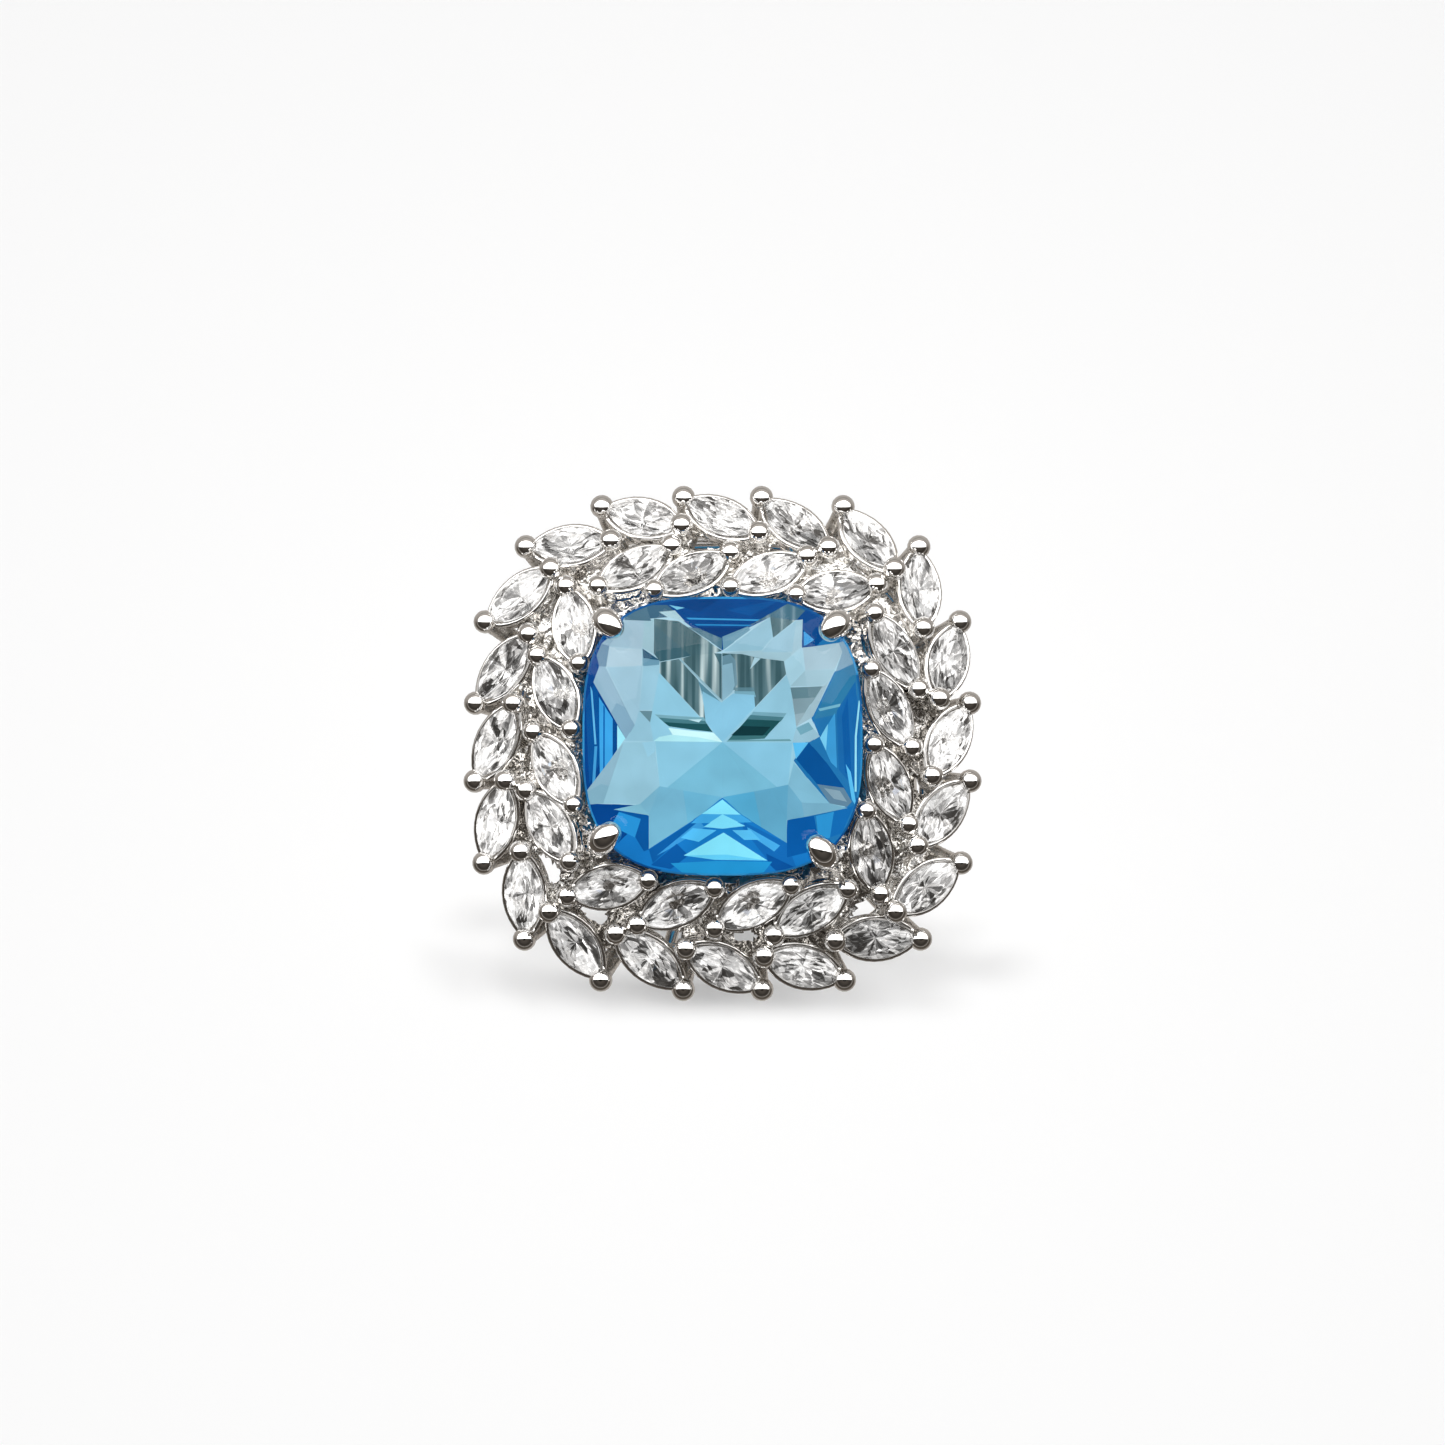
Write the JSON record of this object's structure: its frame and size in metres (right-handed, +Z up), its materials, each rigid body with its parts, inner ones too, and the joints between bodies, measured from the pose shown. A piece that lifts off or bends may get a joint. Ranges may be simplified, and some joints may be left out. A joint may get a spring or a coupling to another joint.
{
  "type": "cocktail ring",
  "caption": "Finger ring with a large cushion-cut blue centre stone inside a two-tier halo of clear marquise stones on ball prongs, over an open gallery and a flat-based band.",
  "frame": {"origin": "middle of the flat under the band, on the finger hole's mid plane", "axes": "+Z up through the centre stone's table, Y along the finger, X across the finger"},
  "size_m": [0.026, 0.0262, 0.0295],
  "materials": {
    "silver": "polished rhodium-plated silver",
    "clear_stone": "polished facets",
    "blue_stone": "polished facets"
  },
  "bodies": {
    "root": {"centre_stone": "blue_stone", "centre_basket": "silver", "inner_halo_frame": "silver", "outer_halo_frame": "silver", "gallery_rail": "silver", "shank": "silver", "inner_marquise_01": "clear_stone", "inner_marquise_02": "clear_stone", "inner_marquise_03": "clear_stone", "inner_marquise_04": "clear_stone", "inner_marquise_05": "clear_stone", "inner_marquise_06": "clear_stone", "inner_marquise_07": "clear_stone", "inner_marquise_08": "clear_stone", "inner_marquise_09": "clear_stone", "inner_marquise_10": "clear_stone", "inner_marquise_11": "clear_stone", "inner_marquise_12": "clear_stone", "inner_marquise_13": "clear_stone", "inner_marquise_14": "clear_stone", "inner_marquise_15": "clear_stone", "inner_marquise_16": "clear_stone", "outer_marquise_01": "clear_stone", "outer_marquise_02": "clear_stone", "outer_marquise_03": "clear_stone", "outer_marquise_04": "clear_stone", "outer_marquise_05": "clear_stone", "outer_marquise_06": "clear_stone", "outer_marquise_07": "clear_stone", "outer_marquise_08": "clear_stone", "outer_marquise_09": "clear_stone", "outer_marquise_10": "clear_stone", "outer_marquise_11": "clear_stone", "outer_marquise_12": "clear_stone", "outer_marquise_13": "clear_stone", "outer_marquise_14": "clear_stone", "outer_marquise_15": "clear_stone", "outer_marquise_16": "clear_stone", "outer_marquise_17": "clear_stone", "outer_marquise_18": "clear_stone", "outer_marquise_19": "clear_stone", "outer_marquise_20": "clear_stone"}
  },
  "joints": []
}
